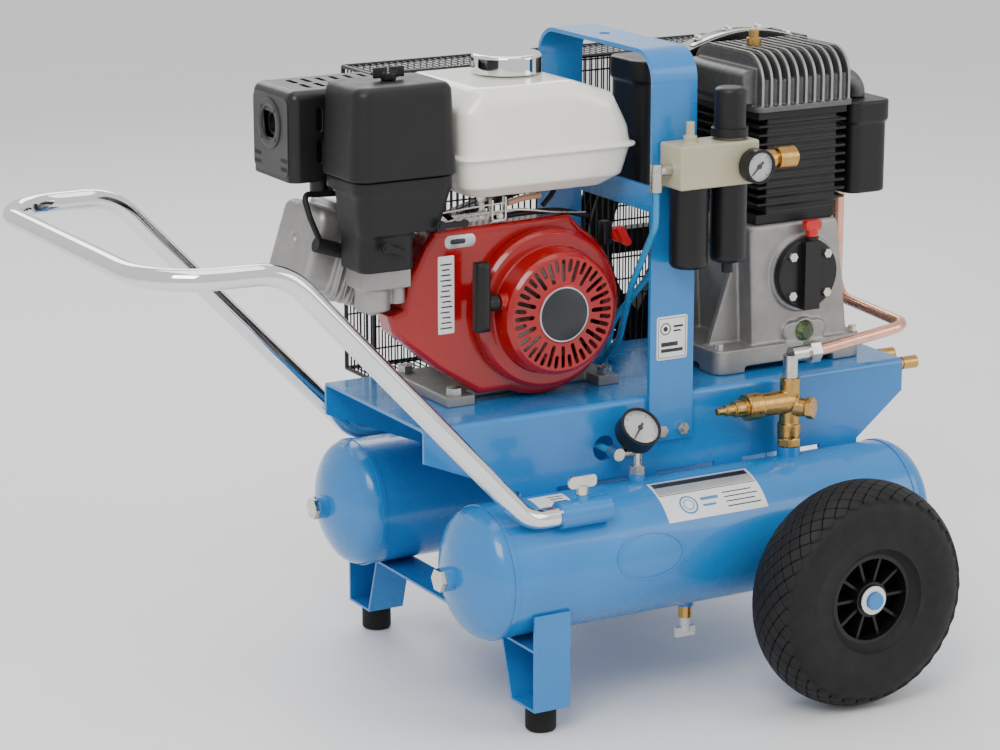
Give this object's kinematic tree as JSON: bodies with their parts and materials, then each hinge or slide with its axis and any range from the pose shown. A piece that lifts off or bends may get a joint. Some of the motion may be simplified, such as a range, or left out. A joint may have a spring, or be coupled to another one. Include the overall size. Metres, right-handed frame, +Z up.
{
  "type": "wheelbarrow air compressor",
  "caption": "Petrol-engine piston air compressor on a two-tank barrow with push handle, two pneumatic wheels, belt drive, filter-regulator and pilot valve.",
  "frame": {"origin": "on the floor under the centre of the bounding box", "axes": "+X towards the wheels, the push handle at -X; -Y is the recoil starter and gauge side, +Y the belt side; +Z up"},
  "size_m": [1.079, 0.709, 0.756],
  "materials": {
    "blue_paint": "gloss sky-blue powder coat",
    "red_paint": "gloss dark-red paint",
    "white_paint": "gloss off-white paint",
    "black_paint": "satin black paint",
    "beige_paint": "satin grey-beige paint",
    "chrome": "bright chrome plate",
    "zinc": "bright zinc plate",
    "steel": "machined steel",
    "cast_aluminium": "fine-cast natural aluminium",
    "dark_aluminium": "dark grey fine casting",
    "black_iron": "black-painted casting",
    "copper": "plain copper tube",
    "brass": "machined brass",
    "tyre": "moulded black rubber",
    "foot_rubber": "moulded black rubber",
    "black_rubber": "smooth black rubber",
    "black_plastic": "moulded black plastic",
    "satin_black_plastic": "grained dark-grey plastic",
    "red_plastic": "moulded red plastic",
    "white_plastic": "moulded white plastic",
    "blue_hose": "smooth blue hose",
    "sight_glass": "clear glass over dark oil"
  },
  "bodies": {
    "frame": {"tank_left": "blue_paint", "tank_right": "blue_paint", "tray": "blue_paint", "leg_frame": "blue_paint", "hoop": "blue_paint", "feet": "foot_rubber", "fasteners": "zinc", "engine_block": "cast_aluminium", "engine_head": "cast_aluminium", "fan_cover": "red_paint", "recoil_cover": "red_paint", "fuel_tank": "white_paint", "carburettor": "cast_aluminium", "air_cleaner_base": "satin_black_plastic", "muffler": "black_paint", "muffler_guard": "black_paint", "spark_lead": "black_rubber", "pump_crankcase": "cast_aluminium", "pump_cover": "black_paint", "pump_cylinder": "black_iron", "pump_head": "dark_aluminium", "pump_filters": "black_plastic", "sight_glass": "sight_glass", "belts": "black_rubber", "belt_guard": "black_paint", "copper_pipe": "copper", "pilot_valve": "brass", "brass_fittings": "brass", "gauges": "black_paint", "frl_body": "beige_paint", "frl_bowls": "black_plastic", "air_hoses": "blue_hose"},
    "wheel_left": {"tyre_left": "tyre", "rim_left": "black_plastic"},
    "wheel_right": {"tyre_right": "tyre", "rim_right": "black_plastic"},
    "handle": {"handle": "chrome"},
    "wing_screw_left": {"wing_screw_left": "zinc"},
    "wing_screw_right": {"wing_screw_right": "zinc"},
    "flywheel": {"pump_flywheel": "black_iron", "pump_crankshaft": "steel"},
    "engine_crank": {"engine_crankshaft": "steel"},
    "engine_piston": {"engine_piston": "cast_aluminium"},
    "pump_piston_left": {"pump_piston_left": "cast_aluminium"},
    "pump_piston_right": {"pump_piston_right": "cast_aluminium"},
    "recoil_handle": {"recoil_handle": "black_plastic"},
    "fuel_cap": {"fuel_cap": "chrome"},
    "choke_lever": {"choke_lever": "black_plastic"},
    "fuel_lever": {"fuel_lever": "black_plastic"},
    "throttle_lever": {"throttle_lever": "zinc"},
    "air_cleaner_cover": {"air_cleaner_cover": "satin_black_plastic"},
    "air_cleaner_nut": {"air_cleaner_nut": "black_plastic"},
    "engine_switch": {"engine_switch": "red_plastic"},
    "pump_dipstick": {"pump_dipstick": "red_plastic"},
    "regulator_knob": {"regulator_knob": "black_plastic"},
    "tank_gauge_needle": {"tank_gauge_needle": "black_plastic"},
    "frl_gauge_needle": {"frl_gauge_needle": "black_plastic"},
    "coupler_collar": {"coupler_collar": "brass"},
    "drain_cock_left": {"drain_cock_left": "white_plastic"},
    "drain_cock_right": {"drain_cock_right": "white_plastic"}
  },
  "joints": [
    {"name": "wheel_left_spin", "type": "hinge", "parent": "frame", "child": "wheel_left", "pos_m": [0.3095, -0.311, 0.135], "axis": [0, 1, 0], "continuous": true},
    {"name": "wheel_right_spin", "type": "hinge", "parent": "frame", "child": "wheel_right", "pos_m": [0.3095, 0.311, 0.135], "axis": [0, 1, 0], "continuous": true},
    {"name": "handle_slide", "type": "slide", "parent": "frame", "child": "handle", "axis": [-1, 0, 0], "range_m": [0, 0.05]},
    {"name": "wing_screw_left_turn", "type": "hinge", "parent": "frame", "child": "wing_screw_left", "pos_m": [-0.006, -0.215, 0.28], "axis": [0, 0, 1], "range_deg": [0, 540]},
    {"name": "wing_screw_right_turn", "type": "hinge", "parent": "frame", "child": "wing_screw_right", "pos_m": [-0.006, 0.215, 0.28], "axis": [0, 0, 1], "range_deg": [0, 540]},
    {"name": "flywheel_spin", "type": "hinge", "parent": "frame", "child": "flywheel", "pos_m": [0.382, 0.185, 0.464], "axis": [0, 1, 0], "continuous": true},
    {"name": "engine_crank_spin", "type": "hinge", "parent": "frame", "child": "engine_crank", "pos_m": [0.032, 0.185, 0.458], "axis": [0, 1, 0], "continuous": true},
    {"name": "engine_piston_stroke", "type": "slide", "parent": "frame", "child": "engine_piston", "axis": [-0.9511, 0, 0.309], "range_m": [-0.04, 0.018]},
    {"name": "pump_piston_left_stroke", "type": "slide", "parent": "frame", "child": "pump_piston_left", "axis": [0, 0, 1], "range_m": [-0.023, 0.023]},
    {"name": "pump_piston_right_stroke", "type": "slide", "parent": "frame", "child": "pump_piston_right", "axis": [0, 0, 1], "range_m": [-0.023, 0.023]},
    {"name": "recoil_pull", "type": "slide", "parent": "frame", "child": "recoil_handle", "axis": [-1, 0, 0], "range_m": [0, 0.5]},
    {"name": "fuel_cap_turn", "type": "hinge", "parent": "frame", "child": "fuel_cap", "pos_m": [0.018, 0, 0.737], "axis": [0, 0, 1], "range_deg": [0, 90]},
    {"name": "choke_turn", "type": "hinge", "parent": "frame", "child": "choke_lever", "pos_m": [-0.128, -0.1075, 0.578], "axis": [0, -1, 0], "range_deg": [0, 35]},
    {"name": "fuel_tap_turn", "type": "hinge", "parent": "frame", "child": "fuel_lever", "pos_m": [-0.196, -0.1075, 0.56], "axis": [0, -1, 0], "range_deg": [0, 45]},
    {"name": "throttle_turn", "type": "hinge", "parent": "frame", "child": "throttle_lever", "pos_m": [-0.04, -0.044, 0.572], "axis": [0, -1, 0], "range_deg": [-45, 0]},
    {"name": "air_cleaner_cover_lift", "type": "slide", "parent": "frame", "child": "air_cleaner_cover", "axis": [0, 0, 1], "range_m": [0, 0.1]},
    {"name": "air_cleaner_nut_turn", "type": "hinge", "parent": "air_cleaner_cover", "child": "air_cleaner_nut", "pos_m": [-0.1655, -0.057, 0.745], "axis": [0, 0, 1], "range_deg": [0, 1080]},
    {"name": "engine_switch_turn", "type": "hinge", "parent": "frame", "child": "engine_switch", "pos_m": [0.136, -0.06, 0.532], "axis": [0, -1, 0], "range_deg": [0, 60]},
    {"name": "dipstick_turn", "type": "hinge", "parent": "frame", "child": "pump_dipstick", "pos_m": [0.386, -0.096, 0.515], "axis": [0, 0, 1], "range_deg": [0, 720]},
    {"name": "regulator_turn", "type": "hinge", "parent": "frame", "child": "regulator_knob", "pos_m": [0.225, -0.155, 0.684], "axis": [0, 0, 1], "range_deg": [-540, 540]},
    {"name": "tank_gauge_reading", "type": "hinge", "parent": "frame", "child": "tank_gauge_needle", "pos_m": [0.104, -0.164, 0.328], "axis": [0, -0.7314, 0.682], "range_deg": [-270, 0]},
    {"name": "frl_gauge_reading", "type": "hinge", "parent": "frame", "child": "frl_gauge_needle", "pos_m": [0.24, -0.198, 0.625], "axis": [0, -1, 0], "range_deg": [-270, 0]},
    {"name": "coupler_release", "type": "slide", "parent": "frame", "child": "coupler_collar", "axis": [-1, 0, 0], "range_m": [0, 0.0035], "stiffness_N_per_m": 900},
    {"name": "drain_left_turn", "type": "hinge", "parent": "frame", "child": "drain_cock_left", "pos_m": [0.171, -0.1595, 0.075], "axis": [0, 0, 1], "range_deg": [0, 180]},
    {"name": "drain_right_turn", "type": "hinge", "parent": "frame", "child": "drain_cock_right", "pos_m": [0.171, 0.1595, 0.075], "axis": [0, 0, 1], "range_deg": [0, 180]}
  ],
  "couplings": [
    {"joint": "engine_crank_spin", "follows": "flywheel_spin", "ratio": 2.5856},
    {"joint": "pump_piston_right_stroke", "follows": "pump_piston_left_stroke", "ratio": -1}
  ]
}
